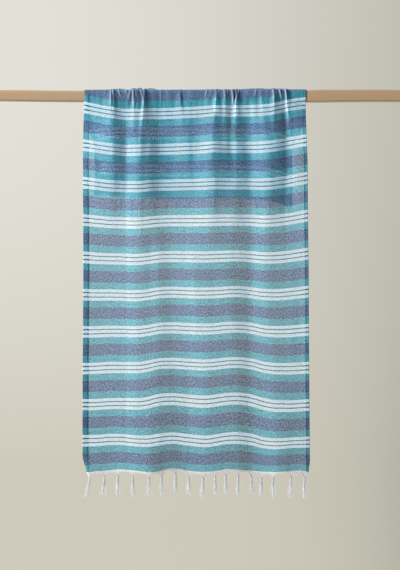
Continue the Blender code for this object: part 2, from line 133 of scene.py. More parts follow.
# The pleats pinched up over the rod: crest, widths of the two flanks, height, how far down they
# run out, how far the lower end leans, how far the crest rolls over to one side, and the share of
# its height that is left on top of the rod.
PLEATS = table(
    "across left right height down lean roll top",
    (98, 33, 36, 11, 290, 2, 1, 0.1), (106, 5, 14, 5, 90, 2), (121, 5, 6, 2.5, 55, 18),
    (158, 5, 5, 2.5, 50, -10), (182, 13, 18, 8, 260, 3, 1, 0.15), (193, 5, 4, 6, 70, -8),
    (222, 9, 15, 9, 300, -13), (279, 9, 9, 1.5, 120, 6), (303, 4, 5, 2, 60, 0),
    (346, 26, 18, 6, 260, 26, 1, 0.1), (386, 5, 5, 2, 60, -6), (454, 6, 6, 3, 60, -14),
    (486, 26, 34, 9, 380, -28), (468, 4, 5, 3.5, 55, 14), (499, 5, 5, 3.5, 55, -13),
    (513, 14, 18, 2.5, 260, 4), (517, 4, 5, 4, 70, 1), (530, 4, 5, 4, 50, -13),
    (545, 13, 5, 8, 110, 4, 1, 0.15), (558, 17, 20, 9, 290, -6, 0, 0.15), (561, 3, 5, 3, 50, 11),
    (644, 22, 44, 6, 290, 28), (634, 6, 6, 2, 50, -13), (697, 28, 34, 9, 240, -4),
    (695, 6, 4, 6, 90, 0, 0, 0.15), (714, 4, 6, 4, 65, 12, 0, 0.15),
    (736, 8, 14, 10, 230, 24, 0, 0.15),
    defaults=(0, 0.1),
)
PLEAT_OVER = 70.0  # how far the pleats run down behind the rod
WIDE_PLEAT = 12.0  # a left flank from which a pleat is a wide one
PLEAT_GROW = (26, 60)  # the way in which narrow and wide pleats grow to full height
CREST_ROUND = (0.7, 5)  # how blunt the crests are on the rod, and lower down
PINCH = 0.45  # width of a wide pleat's flanks at the rod, as a share of that lower down
PINCH_LEAST = 5.0  # and the width that they don't go below

# Where the cloth on top of the rod puffs up: middle across and down, half sizes, height.
TOP_LIFT = 1.5  # how far the bunched cloth stands off the top of the rod everywhere
PUFFS = table(
    "across width down length height",
    (129, 32, -3, 18, 6), (178, 13, -3, 14, 5), (190, 26, -4, 15, 3), (203, 13, -5, 16, 7),
    (243, 27, -5, 18, 7.5), (284, 9, -3, 14, 2), (327, 14, -3, 14, 2), (470, 40, -3, 16, 1.5),
    (630, 75, -3, 18, 5.6), (690, 10, -3, 14, 2), (715, 32, -3, 16, 4.5),
)

# Painted highlights and painted shade at the sharp creases where the cloth is bunched on the rod's
# front: places across at 20 and 58 mm down, how far down they run, how strong the painted highlight
# on the crease is, and how strong the painted shade on its left and right sides is.
PAINTED_CREASES = table(
    "top low down pale left right",
    (95, 96, 95, 0.6, 0.3, 0.7), (103, 108, 80, 0.9, 0.3, 0.1), (125, 139, 52, 0.6, 0.1, 0.1),
    (151, 160, 55, 0.5, 0, 0.1), (166, 158, 55, 0.5, 0, 0), (176, 177, 90, 0.6, 0.7, 0.9),
    (194.5, 184.5, 66, 1.1, 0.4, 0.6), (206, 215, 95, 0.6, 0.7, 0.6),
    (279, 281, 50, 0.25, 0, 0.1), (305.5, 305, 55, 0.4, 0, 0.1),
    (350, 354, 90, 0.35, 0, 0.35), (385, 384, 50, 0.4, 0, 0), (447, 436, 50, 0.35, 0, 0),
    (460, 476, 60, 0.45, 0, 0.2), (493, 483, 55, 0.45, 0.2, 0), (510, 516, 70, 0.6, 0.5, 0.4),
    (525, 520, 50, 0.5, 0.4, 0.8), (538.5, 543.5, 100, 0.75, 0.6, 0.9),
    (563, 554.5, 85, 0.75, 0.9, 0.5), (595, 606, 45, 0.3, 0, 0), (627, 618, 50, 0.4, 0, 0.1),
    (690, 693, 95, 0.6, 0, 0.9), (713, 722, 60, 0.85, 0.7, 0.5), (735, 740, 100, 0.6, 0.7, 0.7),
)

# Painted shade in soft valleys and painted light on soft crests, darker or lighter than the cloth
# beside them: places across at 30 and 110 mm down, where they begin and end down the cloth, half
# width, and doublings of the painted light.
PAINTED_TONES = table(
    "top low start end width gain",
    (105, 107, 38, 98, 4, 1), (112, 112, 85, 135, 6, 0.3), (88, 88, 120, 165, 9, 0.35),
    (118, 118, 145, 215, 9, 0.35), (153, 152, 80, 420, 12, -0.38), (169, 160, 8, 90, 5.5, -1.25),
    (183, 182, 5, 62, 3, -0.8), (195, 193, 85, 200, 9, -0.42), (193, 171, 12, 75, 2.8, 1),
    (201, 203, 0, 97, 5, -1.5), (221, 222, 0, 60, 4, -0.6), (226, 224, 75, 190, 7, 0.4),
    (240, 244, 60, 185, 14, -0.5), (266, 266, 1080, 1340, 10, 0.13), (415, 415, 85, 260, 9, -0.35),
    (484, 487, 30, 115, 9, 0.8), (489, 489, 180, 360, 8, 0.17), (504, 508, 70, 130, 8, -0.25),
    (519, 519, 30, 90, 5, 0.5), (533, 533, 20, 190, 8, -0.75), (549, 550, 5, 80, 3.5, -1.3),
    (557, 560, 45, 170, 8, 0.75), (568, 568, 160, 460, 16, 0.4), (560, 560, 430, 860, 14, 0.16),
    (616, 616, 440, 760, 12, -0.07), (618, 618, 40, 200, 9, 0.3), (633, 633, 25, 130, 6, -0.4),
    (649, 652, 30, 100, 6, 0.3), (698, 700, 80, 420, 13, 0.4), (729, 732, 5, 230, 9, -0.8),
    (735, 735, 200, 440, 9, -0.2), (746, 750, 25, 150, 8, 0.75), (782, 784, 45, 140, 24, -0.42),
    (793, 793, 85, 140, 6, -0.3), (790, 790, 215, 385, 20, -0.38),
)

# How far the cloth's sides hang out from its edges at the rod, by distance down.
EDGES = table(
    "down left right",
    (39, 0.9, 0), (66, 1.6, -2.5), (115, 3.1, -1.5), (183, 5.2, 0.3), (275, 6, 3.8),
    (384, 5.6, 4.6), (520, 4.6, 6.2), (694, 3.8, 8.8), (877, 4.9, 9.4), (1060, 6.5, 10.8),
    (1223, 7, 12.1), (1412, 7, 13.2),
)

# The front hem's lower corners: width, height, how far they turn, and how much of that goes back.
LEFT_CORNER, RIGHT_CORNER = table(
    "width rise turn depth",
    (20, 75, 1.2, 1), (12, 55, 0.9, 0.1),
)

# The front tassels: root, how far the foot hangs to the right, length and width.
TASSELS = table(
    "across swing length spread",
    (26, -16, 82, 8), (80, -9, 86, 15), (127, -2, 88, 12), (181, 2, 88, 11), (240, 0, 82, 16),
    (283, -2, 80, 11), (333, -2, 75, 9), (380, -2, 78, 13), (431, -3, 84, 14), (474, 1, 77, 9),
    (511, 1, 80, 9), (556, -1, 83, 8), (604, 1, 80, 9), (639, -1, 80, 10), (680, 5, 86, 13),
    (745, -5, 91, 11), (794, -1, 90, 9),
)
HEADING_HEIGHT = 10.0
KNOT_BELOW = 19.0  # middle of a tassel's knot, below the heading
YARNS = 30  # in one tassel of the front fringe
BACK_YARNS = 10
OPEN_OUT = 2.5  # how far the yarns' ends stray past a tassel's width, as a share
GATHER = 25.0  # the furthest that a yarn is drawn in to its tassel
KNOT_STRIPS = 6  # room for a knot on the fringe's UV square, in yarns
UV_HEADING = 0.04  # the height of that square up to which the heading is
UV_YARNS = 0.06  # and from which the yarns are
Fringe = namedtuple("Fringe", "name tassels yarns thickness yarn")


# --- Helpers ---


def ease(t):
    t = np.clip(t, 0.0, 1.0)
    return t * t * (3.0 - 2.0 * t)


def dome(x, middle, half):
    """One in the middle, and nothing from the half width on."""
    return np.clip(1.0 - ((x - middle) / half) ** 2, 0.0, 1.0)


def bell(x, width):
    return np.exp(-((x / width) ** 2))


def smooth_curve(x, knots, values):
    """A cubic curve through values at knots, level beyond both ends. Values may have columns."""
    slopes = np.gradient(values, knots, axis=0)
    span = np.clip(np.searchsorted(knots, x) - 1, 0, len(knots) - 2)
    width = knots[span + 1] - knots[span]
    t = np.clip((x - knots[span]) / width, 0.0, 1.0)
    if values.ndim > 1:
        t = t[:, None]
        width = width[:, None]
    start = (2 * t**3 - 3 * t**2 + 1) * values[span] + (t**3 - 2 * t**2 + t) * width * slopes[span]
    end = (3 * t**2 - 2 * t**3) * values[span + 1] + (t**3 - t**2) * width * slopes[span + 1]
    return start + end


def curves(rows, across):
    """A smooth curve over the towel's width for each column of a table after the first."""
    places, *columns = np.array(rows, dtype=float).T
    return np.array([smooth_curve(across, places, values) for values in columns])


def between(grid, across, places):
    """A grid's values at places between its columns."""
    index = np.interp(places, across, np.arange(len(across)))
    low = np.minimum(index.astype(int), len(across) - 2)
    share = (index - low)[..., None]
    return grid[..., low, :] * (1 - share) + grid[..., low + 1, :] * share


def rod_edge(x, name):
    along = [row.along for row in ROD_SECTIONS]
    return np.interp(x, along, [getattr(row, name) for row in ROD_SECTIONS])


def smooth_noise(x, y, scale_x, scale_y, seed):
    """Soft noise from -1 to 1 over a grid of x and y, with features of the two scales."""
    gx = x / scale_x
    gy = y / scale_y
    ix = np.floor(gx).astype(int)
    iy = np.floor(gy).astype(int)
    lattice = np.random.default_rng(seed).uniform(-1, 1, (257, 257))
    fx = ease(gx - ix)
    fy = ease(gy - iy)
    ix %= 256
    iy %= 256
    low = lattice[ix, iy] * (1 - fx) + lattice[ix + 1, iy] * fx
    high = lattice[ix, iy + 1] * (1 - fx) + lattice[ix + 1, iy + 1] * fx
    return low * (1 - fy) + high * fy


def uv_grid(u, v):
    return np.stack(np.meshgrid(u, v), axis=-1).reshape(-1, 2)


def grid_faces(rows, columns):
    """Quads of a grid of points, facing along (down x across)."""
    index = np.arange(rows * columns).reshape(rows, columns)
    quads = [index[:-1, :-1], index[1:, :-1], index[1:, 1:], index[:-1, 1:]]
    return np.stack(quads, axis=-1).reshape(-1, 4)


def ring_faces(rings, around):
    """Quads between rings of points."""
    index = np.arange(rings * around).reshape(rings, around)
    beside = np.roll(index, -1, axis=1)
    return np.stack([index[:-1], beside[:-1], beside[1:], index[1:]], axis=-1).reshape(-1, 4)


def new_object(name, data):
    item = bpy.data.objects.new(name, data)
    bpy.context.scene.collection.objects.link(item)
    return item


def new_mesh(name, points, faces, uvs, materials, slots=None):
    """A smooth mesh from points in millimetres, with one UV for each point."""
    mesh = bpy.data.meshes.new(name)
    faces = np.asarray(faces, dtype=np.int32)
    mesh.from_pydata(np.asarray(points, dtype=np.float32) * MM, [], faces)
    if slots is not None:
        mesh.polygons.foreach_set("material_index", slots)
    mesh.validate()
    layer = mesh.uv_layers.new(name="UVMap")
    layer.data.foreach_set("uv", np.asarray(uvs, dtype=np.float32)[faces.ravel()].ravel())
    for material in materials:
        mesh.materials.append(material)
    mesh.shade_smooth()
    return new_object(name, mesh)


# --- The cloth ---


def side_edges(down):
    places, *sides = np.array(EDGES).T
    left, right = (np.interp(down, places, side) for side in sides)
    return TOWEL_LEFT - left, TOWEL_LEFT + TOWEL_WIDTH + right


def front_relief(across, down):
    folds = curves(FOLDS, across)
    levels = np.array(FOLD_LEVELS)
    relief = np.empty_like(down)
    for index in range(len(across)):
        relief[:, index] = smooth_curve(down[:, index], levels, folds[:, index])
    return relief * ease(down / FOLD_LEVELS[0])


def back_relief(across, down):
    rod, hem = curves(BACK_FOLDS, across)
    share = ease((-down - FOLD_LEVELS[0]) / BACK_FOLD_REACH)
    return (rod + (hem - rod) * share) * ease(-down / FOLD_LEVELS[0])


def back_drawn_in(across, down):
    """How far the back panel's sides hang in, and how high the soft folds are that this makes."""
    share = ease((-down - 110.0) / 130.0)
    right_across = TOWEL_WIDTH - across
    left = np.clip(1.0 - across / BACK_SIDE, 0.0, 1.0) ** 2
    right = np.clip(1.0 - right_across / BACK_SIDE, 0.0, 1.0) ** 2
    wave = (1.0 - np.cos(2 * np.pi * np.minimum(across, right_across) / BACK_WAVE)) / 2
    inward = share * (BACK_DRAWN_IN[0] * left - BACK_DRAWN_IN[1] * right)
    return inward, BACK_WAVE_HEIGHT * share * (left + right) * wave


def pleat_relief(across, down):
    """The height over the grid of the pleats and of the puffs, and how far the pleats roll."""
    height = np.zeros_like(down)
    sideways = np.zeros_like(down)
    spread = ease((down - 20.0) / 100.0)
    blunt = CREST_ROUND[0] + (CREST_ROUND[1] - CREST_ROUND[0]) * ease((down - 50.0) / 110.0)
    for pleat in PLEATS:
        crest = pleat.across + pleat.lean * np.clip(down / pleat.down, 0.0, 1.0)
        offset = across[None, :] - crest
        widths = []
        for full in (pleat.left, pleat.right):
            tight = max(full * PINCH, min(full, PINCH_LEAST))
            widths.append(tight + (full - tight) * spread)
        flank = np.where(offset < 0, widths[0], widths[1])
        round_crest = np.sqrt(offset**2 + blunt**2) - blunt
        shape = np.clip(1.0 - round_crest / flank, 0.0, 1.0) ** 1.6
        fade = np.minimum(1.0 - ease(down / pleat.down), 1.0 - ease(-down / PLEAT_OVER))
        grow = PLEAT_GROW[pleat.left > WIDE_PLEAT]
        on_top = pleat.top + (1.0 - pleat.top) * ease(np.abs(down) / grow)
        strength = shape * on_top * fade
        height = np.maximum(height, pleat.height * strength)
        sideways += pleat.roll * strength
    lift = TOP_LIFT * (1.0 - ease((np.abs(down) - 8.0) / 24.0))
    for puff in PUFFS:
        reach = dome(across[None, :], puff.across, puff.width)
        lift = lift + puff.height * reach * dome(down, puff.down, puff.length) ** 1.5
    return height + lift, sideways


def puff_shade(across, down):
    """How dark the fronts of the puffs are, which turn away from the light."""
    shade = np.zeros_like(down)
    along = ease((down + 16.0) / 10.0) * (1.0 - ease((down - 2.0) / 7.0))
    for puff in PUFFS:
        reach = dome(across[None, :], puff.across, puff.width)
        shade = np.maximum(shade, min(puff.height / 10.0, 0.7) * np.sqrt(reach) * along)
    return shade


def painted_crease_light(across, down):
    """The painted highlights and painted shade of the creases on the rod's front over the grid,
    with the puffs' painted shade.
    """
    pale = np.zeros_like(down)
    dark = np.zeros_like(down)
    short = 1.0 - ease((down - 44.0) / 22.0)
    for crease in PAINTED_CREASES:
        line = crease.top + (crease.low - crease.top) * (down - 20.0) / 38.0
        offset = across[None, :] - line
        run_out = 1.0 - ease((down - crease.down * 0.6) / (crease.down * 0.4))
        along = ease((down - 6.0) / 10.0) * run_out
        pale = np.maximum(pale, crease.pale * along * bell(offset, 2.1))
        side = np.where(offset < 0.0, crease.left, crease.right)
        beside = bell(np.abs(offset) - 5.2, 3.0)
        dark = np.maximum(dark, side * along * short * beside)
    return pale, np.maximum(dark, puff_shade(across, down))


def painted_fold_tones(across, down):
    """How many times brighter the painted light and shade of the soft valleys and crests make the
    cloth over the grid.
    """
    light = np.zeros_like(down)
    for tone in PAINTED_TONES:
        line = tone.top + (tone.low - tone.top) * np.clip((down - 30.0) / 80.0, 0.0, 1.0)
        fade = 0.25 * (tone.end - tone.start)
        along = ease((down - tone.start) / fade) * ease((tone.end - down) / fade)
        light += tone.gain * along * bell(across[None, :] - line, tone.width)
    return np.exp2(np.clip(light, -1.5, 1.0))


def shaded_side(down, normals):
    """How far each part of the grid is turned from the window, and more so over the back panel,
    which sets the painted light and shade on the yarn.
    """
    toward = normals @ np.array(TOWARD_WINDOW)
    doubled = 0.35 * (1.0 - ease((down - 330.0) / 90.0))
    return np.clip((0.52 - toward) / 0.34 + doubled, 0.0, 1.0)


def wrap_rod(down, x):
    """Where the cloth lies at each distance down, without its folds, and which way it faces."""
    angle = np.clip((np.abs(down) - ROD_FLAT) / WRAP_RADIUS, 0.0, np.pi / 2)
    reach = np.abs(down)
    side = np.where(down > 0, -1.0, 1.0)
    y = side * (np.minimum(reach, ROD_FLAT) + WRAP_RADIUS * np.sin(angle))
    z = rod_edge(x, "top") - ROD_RADIUS + WRAP_RADIUS * np.cos(angle)
    z = z - np.maximum(reach - ROD_FLAT - WRAP_BEND, 0.0)
    return y, z, side * np.sin(angle), np.cos(angle)


def drop_to_distance(level, x):
    return ROD_FLAT + WRAP_BEND + rod_edge(x, "top") - ROD_RADIUS + level


def turn_corners(across, height, points):
    """Turns the front hem's lower corners back. Height is above the front hem."""
    for corner, inward, place in (
        (LEFT_CORNER, 1.0, across), (RIGHT_CORNER, -1.0, TOWEL_WIDTH - across),
    ):
        outside = np.maximum(corner.width - place, 0.0)[None, :]
        turn = corner.turn * ease(1.0 - height[:, None] / corner.rise)
        points[..., 0] += inward * outside * (1.0 - np.cos(turn))
        points[..., 1] += outside * np.sin(turn) * corner.depth


def cloth_distances(across, height):
    """Distance down from the rod's top, for each height above the front hem on the flat cloth."""
    x = TOWEL_LEFT + across
    *falls, back_fall = curves(FALLS, across)
    levels = np.array(FALL_HEIGHTS)
    fall = smooth_curve(height, levels, np.array(falls))
    front = drop_to_distance(FRONT_HEM - height[:, None] + fall, x[None, :])
    back = -drop_to_distance(BACK_HEM + back_fall, x)
    first = levels[-1]
    start = drop_to_distance(FRONT_HEM - first + falls[-1], x)
    # Above the first stripe the cloth runs evenly over the rod and down to the back hem.
    share = (height[:, None] - first) / (FLAT_LENGTH - first)
    over = start[None, :] + (back - start)[None, :] * share
    blend = ease((height[:, None] - first + 40.0) / 80.0)
    return front * (1 - blend) + over * blend


def ripples(across, height, down):
    """Small creases: short ones just under the rod, and soft uneven ones all over."""
    a, q = np.meshgrid(across, height)
    near = np.exp(-np.clip(down - 30.0, 0.0, None) / 120.0) * ease(down / 45.0)
    below = ease((down - 60.0) / 200.0)
    behind = ease(-down / 60.0)
    relief = np.zeros_like(down)
    for seed, (size, where, skew, wide, long) in enumerate((
        (1.5, near, 0.0, 11.0, 70.0), (0.8, near, 0.5, 16.0, 26.0),
        (1.1, below, 0.0, 34.0, 260.0), (0.35, below, 0.0, 17.0, 90.0),
        (0.5, behind, 0.0, 23.0, 90.0),
    ), start=1):
        relief += size * where * smooth_noise(a + skew * q, q, wide, long, seed)
    return relief


def cloth_columns():
    """Columns over the towel's width, closer together on the pleats and at the edges."""
    fine = np.linspace(0.0, TOWEL_WIDTH, 4001)
    density = np.full_like(fine, 1 / 5.0)
    for pleat in PLEATS:
        first = pleat.across - 9.0 + min(pleat.lean, 0.0)
        last = pleat.across + 9.0 + max(pleat.lean, 0.0)
        density[(fine > first) & (fine < last)] = 1 / 1.6
    density[np.minimum(fine, TOWEL_WIDTH - fine) < 24.0] = 1 / 2.6
    total = np.concatenate([[0.0], np.cumsum((density[1:] + density[:-1]) / 2 * np.diff(fine))])
    return np.interp(np.linspace(0.0, total[-1], round(total[-1]) + 1), total, fine)


def cloth_heights():
    """Rows from the back hem to the front hem, closer together over the rod."""
    low = np.linspace(0.0, 1050.0, 100)[:-1]
    middle = np.linspace(1050.0, 1290.0, 42)[:-1]
    rod = np.linspace(1290.0, 1480.0, 100)
    back = np.linspace(1480.0, FLAT_LENGTH, 42)[1:]
    return np.concatenate([low, middle, rod, back])[::-1]


def surface_normals(points):
    normals = np.cross(np.gradient(points, axis=0), np.gradient(points, axis=1))
    return normals / np.linalg.norm(normals, axis=-1, keepdims=True)


def cloth_face(across, height, down):
    """Points of the cloth's face, from their places across, heights and distances down."""
    left, right = side_edges(np.maximum(down, 0.0))
    inward, wave = back_drawn_in(across, down)
    x = left + across[None, :] / TOWEL_WIDTH * (right - left) + inward
    y, z, out_y, out_z = wrap_rod(down, x)
    pleats, sideways = pleat_relief(across, down)
    relief = front_relief(across, np.maximum(down, 0.0))
    relief += back_relief(across, np.minimum(down, 0.0)) + wave
    relief += pleats + np.maximum(ripples(across, height, down), -relief)
    points = np.stack([x + sideways, y + out_y * relief, z + out_z * relief], axis=-1)
    turn_corners(across, height, points)
    return points


def make_cloth(material):
    """The towel's cloth: one sheet, with both side hems turned twice to the inside."""
    across = cloth_columns()
    height = cloth_heights()
    down = cloth_distances(across, height)
    face = cloth_face(across, height, down)
    normals = surface_normals(face)
    # The turned part of a hem, as distances in from the side edge and behind the cloth's face.
    turned = [(0.35, 0.7)]
    turned += [(place, 0.9) for place in across[across < HEM_WIDTH + 0.1][1:]]
    turned += [(HEM_WIDTH + 0.3, 0.7)]
    turned += [(HEM_WIDTH - back, 0.45) for back in np.linspace(1.0, HEM_TUCK, 4)]
    inward, behind = np.array(turned).T

    def hem(side_line, sign):
        places = side_line + sign * inward
        facing = between(normals, across, places)
        return between(face, across, places) - facing * behind[:, None]

    left = hem(0.0, 1.0)[:, ::-1]
    right = hem(TOWEL_WIDTH, -RIGHT_HEM)
    points = np.concatenate([left, face, right], axis=1)
    along = np.cumsum(np.concatenate([[0.0], np.abs(np.diff(inward))]))
    travel = along / along[-1] * (HEM_WIDTH + HEM_TUCK) + 0.3
    u = np.concatenate([-travel[::-1], across, TOWEL_WIDTH + travel])
    uvs = uv_grid((u + UV_MARGIN) / UV_WIDTH, height / FLAT_LENGTH)
    faces = grid_faces(*points.shape[:2])
    cloth = new_mesh("cloth_sheet", points.reshape(-1, 3), faces, uvs, [material])
    pale, dark = painted_crease_light(across, down)
    for name, tone, on_hem in (
        ("crease_pale", pale, 0.0),
        ("crease_dark", dark, 0.0),
        ("bunched", 1.0 - ease((np.abs(down) - 50.0) / 40.0), 0.0),
        ("shaded", shaded_side(down, normals), 0.0),
        ("fold_light", painted_fold_tones(across, down), 1.0),
    ):
        layer = cloth.data.attributes.new(name, "FLOAT", "POINT")
        margin = ((0, 0), (left.shape[1], right.shape[1]))
        padded = np.pad(tone, margin, constant_values=on_hem)
        layer.data.foreach_set("value", padded.astype(np.float32).ravel())
    return cloth, across, face


# --- The fringes ---


class Strands:
    """The points, faces and UVs of a fringe, gathered part by part."""

    def __init__(self):
        self.parts = []
        self.count = 0

    def add(self, points, faces, uvs):
        self.parts.append((points, faces + self.count, uvs))
        self.count += len(points)

    def tube(self, path, radii, sides, twist, strip):
        """A tube along a path. Strip is the place of its UV strip, from 0 to 1, and its width."""
        path = np.asarray(path)
        count = len(path)
        tangent = np.gradient(path, axis=0)
        tangent /= np.linalg.norm(tangent, axis=-1, keepdims=True)
        first = np.cross(tangent, np.array([0.0, 1.0, 0.0]))
        length = np.linalg.norm(first, axis=-1, keepdims=True)
        first = np.where(length > 1e-3, first / np.maximum(length, 1e-3), [1.0, 0.0, 0.0])
        second = np.cross(tangent, first)
        angle = np.linspace(0, 2 * np.pi, sides, endpoint=False)
        phase = angle[None, :] + twist * np.arange(count)[:, None]
        ring = np.cos(phase)[..., None] * first[:, None]
        ring = ring + np.sin(phase)[..., None] * second[:, None]
        points = path[:, None] + ring * np.asarray(radii)[:, None, None]
        u = strip[0] + strip[1] * np.abs(angle / np.pi - 1.0)
        v = UV_YARNS + (1.0 - UV_YARNS) * np.linspace(0.0, 1.0, count)
        self.add(points.reshape(-1, 3), ring_faces(count, sides), uv_grid(u, v))


def tassel_middle(top, tassel, below):
    share = below / tassel.length
    return top + np.array([tassel.swing * share * share, 0.0, -below])


def yarn_path(root, top, spread, tassel):
    """One yarn of a tassel: drawn in along the hem, through the knot, and loose below it."""
    power = 1.0 + 1.5 * abs(root[0] - top[0]) / GATHER
    path = []
    for t in np.linspace(0.0, 1.0, 6)[:-1]:
        below = KNOT_BELOW * 0.72 * t**power
        middle = tassel_middle(top, tassel, below)
        x = root[0] * (1 - t) + (middle[0] + spread[0] * 1.6) * t
        y = root[1] * (1 - t) + (middle[1] + spread[1] * 1.6) * t
        z = root[2] * (1 - t) + top[2] * t - below
        path.append((x, y, z))
    foot = KNOT_BELOW * 1.3
    stations = [(KNOT_BELOW * 0.76, 1.5), (KNOT_BELOW, 1.7), (foot, 1.9)]
    for share in (0.2, 0.4, 0.6, 0.8, 1.0):
        width = 2.6 + (tassel.spread / 2 - 2.6) * share**0.8
        stations.append((foot + (tassel.length - foot) * share, width))
    wander = rng.normal(0.0, 0.4, (len(stations), 2))
    wander[:3] *= 0.2
    wander = np.cumsum(wander, axis=0)
    longer = rng.uniform(-14.0, 1.0)
    for (below, width), drift in zip(stations, wander):
        last = (below - KNOT_BELOW) / (tassel.length - KNOT_BELOW)
        middle = tassel_middle(top, tassel, below + longer * max(last, 0.0) ** 2)
        x = middle[0] + spread[0] * width * OPEN_OUT + drift[0]
        y = middle[1] + spread[1] * min(width, 4.5) + drift[1]
        path.append((x, y, middle[2]))
    return path


def add_knot(strands, centre, tilt, size, start, width):
    """An overhand knot: two loops pulled tight round the bundle, crossing each other."""
    angle = np.linspace(0.0, 2 * np.pi, 13)
    x = size * 3.0 * np.cos(angle + tilt)
    y = size * 2.7 * np.sin(angle + tilt)
    for turn, (lift, lean) in enumerate(((-1.9, 0.45), (1.7, -0.4))):
        z = size * lift + lean * x + 0.35 * y
        radii = (1.75 + 0.25 * np.sin(3 * angle + turn)) * size
        path = centre + np.stack([x, y, z], axis=-1)
        strands.tube(path, radii, 6, 0.25, (start + turn * width, width))


def make_tassels(fringe, across, hem, inner, heading_material):
    """The white heading along a hem, and its tassels. Inner is a row of the cloth above the hem."""
    tassels = fringe.tassels
    away = hem - inner
    away /= np.linalg.norm(away, axis=-1, keepdims=True)
    left = 3.0
    right = TOWEL_WIDTH - 3.0

    def below_hem(place, drop):
        """A point of the heading, a share of its height below the hem."""
        return between(hem + away * drop * HEADING_HEIGHT, across, place)

    strands = Strands()
    # The heading is in the lowest part of the UV square, and the yarns' strips are above it.
    inside = (across > left) & (across < right)
    places = across[inside]
    levels = np.array([0.0, 0.33, 0.66, 1.0])
    ragged = 1.0 + 0.12 * smooth_noise(places, places * 0, 4.0, 1.0, 11)
    drop = away[inside] * levels[:, None, None] * HEADING_HEIGHT * ragged[:, None]
    heading = grid_faces(len(levels), len(places))
    uvs = uv_grid((places - places[0]) / (places[-1] - places[0]), levels * UV_HEADING)
    strands.add((hem[inside] + drop).reshape(-1, 3), heading, uvs)

    width = 1.0 / (len(tassels) * (fringe.yarns + KNOT_STRIPS))
    strip = 0
    roots = [row.across for row in tassels]
    befores = [tassels[0].across - 2 * GATHER] + roots[:-1]
    afters = roots[1:] + [tassels[-1].across + 2 * GATHER]
    for tassel, before, after in zip(tassels, befores, afters):
        start = max((before + tassel.across) / 2, tassel.across - GATHER, left + 1)
        end = min((after + tassel.across) / 2, tassel.across + GATHER, right - 1)
        top = below_hem(tassel.across, 1.0)
        for place in np.linspace(start, end, fringe.yarns):
            place += rng.uniform(-0.6, 0.6)
            side = (place - tassel.across) / GATHER
            angle = rng.uniform(0, 2 * np.pi)
            radius = math.sqrt(rng.uniform(0.05, 1.0))
            spread = (0.6 * radius * math.cos(angle) + 0.4 * side, radius * math.sin(angle))
            path = yarn_path(below_hem(place, 0.15), top, spread, tassel)
            radii = np.full(len(path), fringe.thickness / 2)
            radii[:3] *= 0.75
            radii[-1] *= 0.6
            strands.tube(path, radii, 4, 0.5, (strip * width, width * 0.9))
            strip += 1
        tilt = rng.uniform(0, 2 * np.pi)
        knot = tassel_middle(top, tassel, KNOT_BELOW)
        add_knot(strands, knot, tilt, fringe.thickness / 1.1, strip * width, 0.9 * width)
        strip += KNOT_STRIPS
    points, faces, uvs = map(np.concatenate, zip(*strands.parts))
    slots = np.ones(len(faces), dtype=np.int32)
    slots[:len(heading)] = 0
    materials = [heading_material, fringe.yarn]
    return new_mesh(fringe.name, points, faces, uvs, materials, slots)


# --- The rod ---


def make_rod(material):
    """The rod's bar, with finely rounded edges and an uneven top and underside."""
    steps = 7
    chamfer = 1.5
    stations = np.concatenate([
        [0.0, 0.4, 0.9, chamfer],
        np.linspace(10.0, ROD_LENGTH - 10.0, 120),
        [ROD_LENGTH - chamfer, ROD_LENGTH - 0.9, ROD_LENGTH - 0.4, ROD_LENGTH],
    ])
    points = []
    for x in stations:
        near = min(min(x, ROD_LENGTH - x) / chamfer, 1.0)
        inset = chamfer * (1.0 - math.sqrt(max(0.0, 1.0 - (1.0 - near) ** 2)))
        top = float(rod_edge(x, "top")) - inset
        bottom = float(rod_edge(x, "bottom")) + inset
        half = ROD_DEPTH / 2 - inset
        beyond = float(ease((x - TOWEL_LEFT - TOWEL_WIDTH) / 30.0))
        upper = ROD_RADIUS + (ROD_SHARP_TOP - ROD_RADIUS) * beyond - inset
        lower = ROD_SHARP_BOTTOM - inset
        for y, z, radius, first in (
            (half - upper, top - upper, upper, 0.0),
            (-half + upper, top - upper, upper, 90.0),
            (-half + lower, bottom + lower, lower, 180.0),
            (half - lower, bottom + lower, lower, 270.0),
        ):
            for step in range(steps + 1):
                angle = math.radians(first + 90.0 * step / steps)
                points.append((x, y + radius * math.cos(angle), z + radius * math.sin(angle)))
    around = 4 * (steps + 1)
    points = np.array(points)
    step = np.arange(around // 2 - 1)
    end = np.stack([step, step + 1, around - 2 - step, around - 1 - step], axis=-1)
    ends = [end[:, ::-1], end + len(points) - around]
    faces = np.concatenate([ring_faces(len(stations), around), *ends])
    turn = np.tile(np.arange(around) / around, len(stations))
    uvs = np.stack([points[:, 0] / ROD_LENGTH, turn], axis=-1)
    rod = new_mesh("rod_bar", points, faces, uvs, [material])
    rod.data.set_sharp_from_angle(angle=0.8)
    return rod


# --- Materials ---


class Value:
    """A node's output, which adds, subtracts and multiplies as a number does."""

    def __init__(self, nodes, socket):
        self.nodes = nodes
        self.socket = socket

    def __add__(self, other):
        return self.nodes.math("ADD", self, other)

    def __sub__(self, other):
        return self.nodes.math("SUBTRACT", self, other)

    def __rsub__(self, other):
        return self.nodes.math("SUBTRACT", other, self)

    def __mul__(self, other):
        return self.nodes.math("MULTIPLY", self, other)

    def clamp(self):
        return self.nodes.add("Clamp", {0: self})


